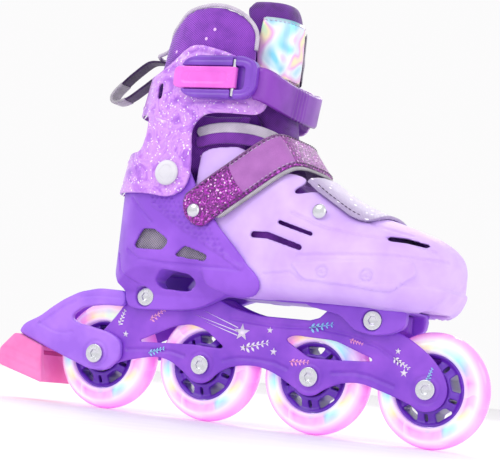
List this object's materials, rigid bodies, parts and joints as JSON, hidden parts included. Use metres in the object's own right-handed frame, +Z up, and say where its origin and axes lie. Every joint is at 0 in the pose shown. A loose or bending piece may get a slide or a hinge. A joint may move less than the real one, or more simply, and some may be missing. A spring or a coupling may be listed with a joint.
{
  "type": "inline skate",
  "caption": "Adjustable child's inline skate with a hinged cuff, sliding toe shell, buckle and instep strap, moulded frame, light-up style wheels and heel brake.",
  "frame": {"origin": "bottom centre of the whole skate's bounding box, on the ground under the wheels", "axes": "+X towards the toe, +Y towards the inner side of the foot, +Z up"},
  "size_m": [0.333, 0.0965, 0.2704],
  "materials": {
    "clear_urethane": "clear cast polyurethane, glossy",
    "hub_nylon": "moulded, satin",
    "plated_steel": "bright nickel plate",
    "chassis_nylon": "moulded, satin",
    "arm_nylon": "moulded, satin",
    "brake_rubber": "moulded, matt",
    "heel_plastic": "moulded, satin",
    "toe_plastic": "moulded, satin",
    "bridge_plastic": "soft sheet, satin",
    "cuff_plastic": "moulded, marbled with glitter",
    "cap_plastic": "moulded, satin",
    "liner_cloth": "knitted and printed",
    "tongue_cloth": "knitted",
    "insole_foam": "brushed",
    "glitter_strap": "woven with glitter thread",
    "buckle_plastic": "moulded, satin",
    "lever_plastic": "moulded, satin",
    "strap_plastic": "moulded, satin"
  },
  "bodies": {
    "base": {"light_core_1": "plated_steel", "axle_bolt_1": "plated_steel", "axle_nut_1": "plated_steel", "light_core_2": "plated_steel", "axle_bolt_2": "plated_steel", "axle_nut_2": "plated_steel", "light_core_3": "plated_steel", "axle_bolt_3": "plated_steel", "axle_nut_3": "plated_steel", "light_core_4": "plated_steel", "axle_bolt_4": "plated_steel", "axle_nut_4": "plated_steel", "chassis": "chassis_nylon", "brake_arm": "arm_nylon", "brake_pad": "brake_rubber", "brake_screw": "plated_steel", "rear_mount_bolt": "plated_steel", "rear_mount_nut": "plated_steel", "front_mount_bolt": "plated_steel", "front_mount_nut": "plated_steel", "heel_shell": "heel_plastic", "liner_sole": "liner_cloth", "liner_heel": "liner_cloth", "liner_vamp": "liner_cloth", "insole": "insole_foam", "instep_strap": "glitter_strap", "instep_rivet_lateral": "plated_steel", "instep_rivet_medial": "plated_steel"},
    "wheel_1": {"tyre_1": "clear_urethane", "hub_1": "hub_nylon", "bearing_lateral_1": "plated_steel", "bearing_medial_1": "plated_steel"},
    "wheel_2": {"tyre_2": "clear_urethane", "hub_2": "hub_nylon", "bearing_lateral_2": "plated_steel", "bearing_medial_2": "plated_steel"},
    "wheel_3": {"tyre_3": "clear_urethane", "hub_3": "hub_nylon", "bearing_lateral_3": "plated_steel", "bearing_medial_3": "plated_steel"},
    "wheel_4": {"tyre_4": "clear_urethane", "hub_4": "hub_nylon", "bearing_lateral_4": "plated_steel", "bearing_medial_4": "plated_steel"},
    "toe_section": {"toe_shell": "toe_plastic", "toe_bridge": "bridge_plastic", "toe_rivet_lateral": "plated_steel", "toe_rivet_medial": "plated_steel"},
    "cuff_section": {"cuff": "cuff_plastic", "cuff_pivot_lateral": "cap_plastic", "cuff_pivot_medial": "cap_plastic", "liner_collar": "liner_cloth", "tongue": "tongue_cloth", "pull_loop": "tongue_cloth", "buckle_base": "buckle_plastic", "buckle_pin": "plated_steel", "buckle_strap": "strap_plastic", "buckle_strap_rivet": "plated_steel"},
    "lever": {"buckle_lever": "lever_plastic"},
    "button": {"size_button": "lever_plastic"}
  },
  "joints": [
    {"name": "wheel_1_spin", "type": "hinge", "parent": "base", "child": "wheel_1", "pos_m": [-0.0935, 0, 0.035], "axis": [0, 1, 0], "continuous": true},
    {"name": "wheel_2_spin", "type": "hinge", "parent": "base", "child": "wheel_2", "pos_m": [-0.0185, 0, 0.035], "axis": [0, 1, 0], "continuous": true},
    {"name": "wheel_3_spin", "type": "hinge", "parent": "base", "child": "wheel_3", "pos_m": [0.0565, 0, 0.035], "axis": [0, 1, 0], "continuous": true},
    {"name": "wheel_4_spin", "type": "hinge", "parent": "base", "child": "wheel_4", "pos_m": [0.1315, 0, 0.035], "axis": [0, 1, 0], "continuous": true},
    {"name": "cuff_flex", "type": "hinge", "parent": "base", "child": "cuff_section", "pos_m": [-0.043, 0, 0.152], "axis": [0, 1, 0], "range_deg": [-3, 10]},
    {"name": "size_slide", "type": "slide", "parent": "base", "child": "toe_section", "axis": [1, 0, 0], "range_m": [0, 0.02]},
    {"name": "lever_swing", "type": "hinge", "parent": "cuff_section", "child": "lever", "pos_m": [-0.001, -0.0474, 0.212], "axis": [0, 0, 1], "range_deg": [0, 100]},
    {"name": "button_push", "type": "slide", "parent": "base", "child": "button", "axis": [0, -1, 0], "range_m": [0, 0.0018], "stiffness_N_per_m": 300}
  ]
}
